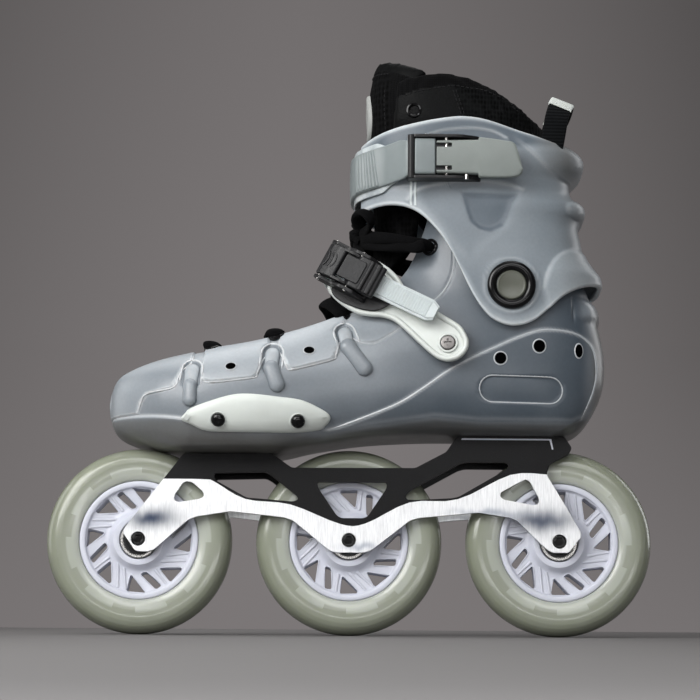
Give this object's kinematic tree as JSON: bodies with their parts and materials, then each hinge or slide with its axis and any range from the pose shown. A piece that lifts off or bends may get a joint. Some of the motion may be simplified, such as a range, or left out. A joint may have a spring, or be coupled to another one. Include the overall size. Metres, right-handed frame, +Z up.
{
  "type": "inline skate",
  "caption": "Hard-shell inline skate: in-line wheels on an aluminium frame, pivoting cuff with lever buckle, ratchet instep strap, lace and padded liner.",
  "frame": {"origin": "on the ground under the middle axle, in the mid plane of the wheels", "axes": "+Z up, -X towards the toe, +X towards the heel, -Y towards the outer side with the buckles"},
  "size_m": [0.358, 0.1166, 0.3509],
  "materials": {
    "urethane": "satin translucent polyurethane",
    "core": "satin moulded nylon",
    "steel": "plain steel",
    "black_screw": "black oxide steel",
    "alu": "upper part black anodised, lower part bare brushed",
    "shell": "frosted translucent",
    "cuff": "frosted translucent",
    "pale": "satin",
    "black_plastic": "satin black",
    "cap": "satin",
    "liner": "knit mesh over foam",
    "webbing": "woven",
    "insole": "felt over foam"
  },
  "bodies": {
    "boot": {"spacer_front": "steel", "axle_front": "black_screw", "spacer_mid": "steel", "axle_mid": "black_screw", "spacer_rear": "steel", "axle_rear": "black_screw", "frame": "alu", "mount_bolt_front": "black_screw", "mount_bolt_rear": "black_screw", "shell": "shell", "cuff_pivot_outer": "black_plastic", "pivot_cap_outer": "cap", "cuff_pivot_inner": "black_plastic", "pivot_cap_inner": "cap", "liner": "liner", "tongue": "liner", "insole": "insole", "slider_outer": "pale", "slider_inner": "pale", "slider_screw_outer_front": "black_screw", "slider_screw_outer_rear": "black_screw", "slider_screw_inner_front": "black_screw", "slider_screw_inner_rear": "black_screw", "instep_bracket": "pale", "instep_bracket_screw": "steel", "buckle_pad": "black_plastic", "ratchet_body": "black_plastic", "ratchet_pin": "steel", "trigger_pin": "steel", "instep_strap": "pale", "instep_strap_screw": "steel", "eyelet_3_outer": "black_screw", "eyelet_3_inner": "black_screw", "eyelet_4_outer": "black_screw", "eyelet_4_inner": "black_screw", "lace_row_1": "webbing", "lace_row_2": "webbing", "lace_row_3": "webbing", "lace_row_4": "webbing"},
    "wheel_front": {"tyre_front": "urethane", "core_front": "core", "bearing_front_outer": "steel", "bearing_front_inner": "steel"},
    "wheel_mid": {"tyre_mid": "urethane", "core_mid": "core", "bearing_mid_outer": "steel", "bearing_mid_inner": "steel"},
    "wheel_rear": {"tyre_rear": "urethane", "core_rear": "core", "bearing_rear_outer": "steel", "bearing_rear_inner": "steel"},
    "cuff": {"cuff": "cuff", "cuff_buckle_base": "black_plastic", "cuff_lever_pin": "steel", "cuff_strap": "pale", "cuff_strap_screw": "steel", "pull_loop": "webbing"},
    "cuff_lever": {"cuff_lever": "pale"},
    "ratchet_lever": {"ratchet_lever": "black_plastic"},
    "release_trigger": {"release_trigger": "black_plastic"}
  },
  "joints": [
    {"name": "wheel_front_spin", "type": "hinge", "parent": "boot", "child": "wheel_front", "pos_m": [-0.124, 0, 0.055], "axis": [0, 1, 0], "continuous": true},
    {"name": "wheel_mid_spin", "type": "hinge", "parent": "boot", "child": "wheel_mid", "pos_m": [0, 0, 0.055], "axis": [0, 1, 0], "continuous": true},
    {"name": "wheel_rear_spin", "type": "hinge", "parent": "boot", "child": "wheel_rear", "pos_m": [0.124, 0, 0.055], "axis": [0, 1, 0], "continuous": true},
    {"name": "cuff_flex", "type": "hinge", "parent": "boot", "child": "cuff", "pos_m": [0.0943, 0, 0.2025], "axis": [0, -1, 0], "range_deg": [-2, 12], "deforming": ["liner", "tongue"]},
    {"name": "cuff_lever_open", "type": "hinge", "parent": "cuff", "child": "cuff_lever", "pos_m": [0.0557, -0.0576, 0.277], "axis": [0, 0, -1], "range_deg": [0, 110]},
    {"name": "ratchet_lever_open", "type": "hinge", "parent": "boot", "child": "ratchet_lever", "pos_m": [0.00201, -0.04959, 0.20948], "axis": [-0.4681, -0.0383, -0.8829], "range_deg": [0, 60]},
    {"name": "release_trigger_lift", "type": "hinge", "parent": "boot", "child": "release_trigger", "pos_m": [-0.01351, -0.04404, 0.21746], "axis": [-0.4681, -0.0383, -0.8829], "range_deg": [0, 12], "stiffness_Nm_per_rad": 0.02}
  ]
}
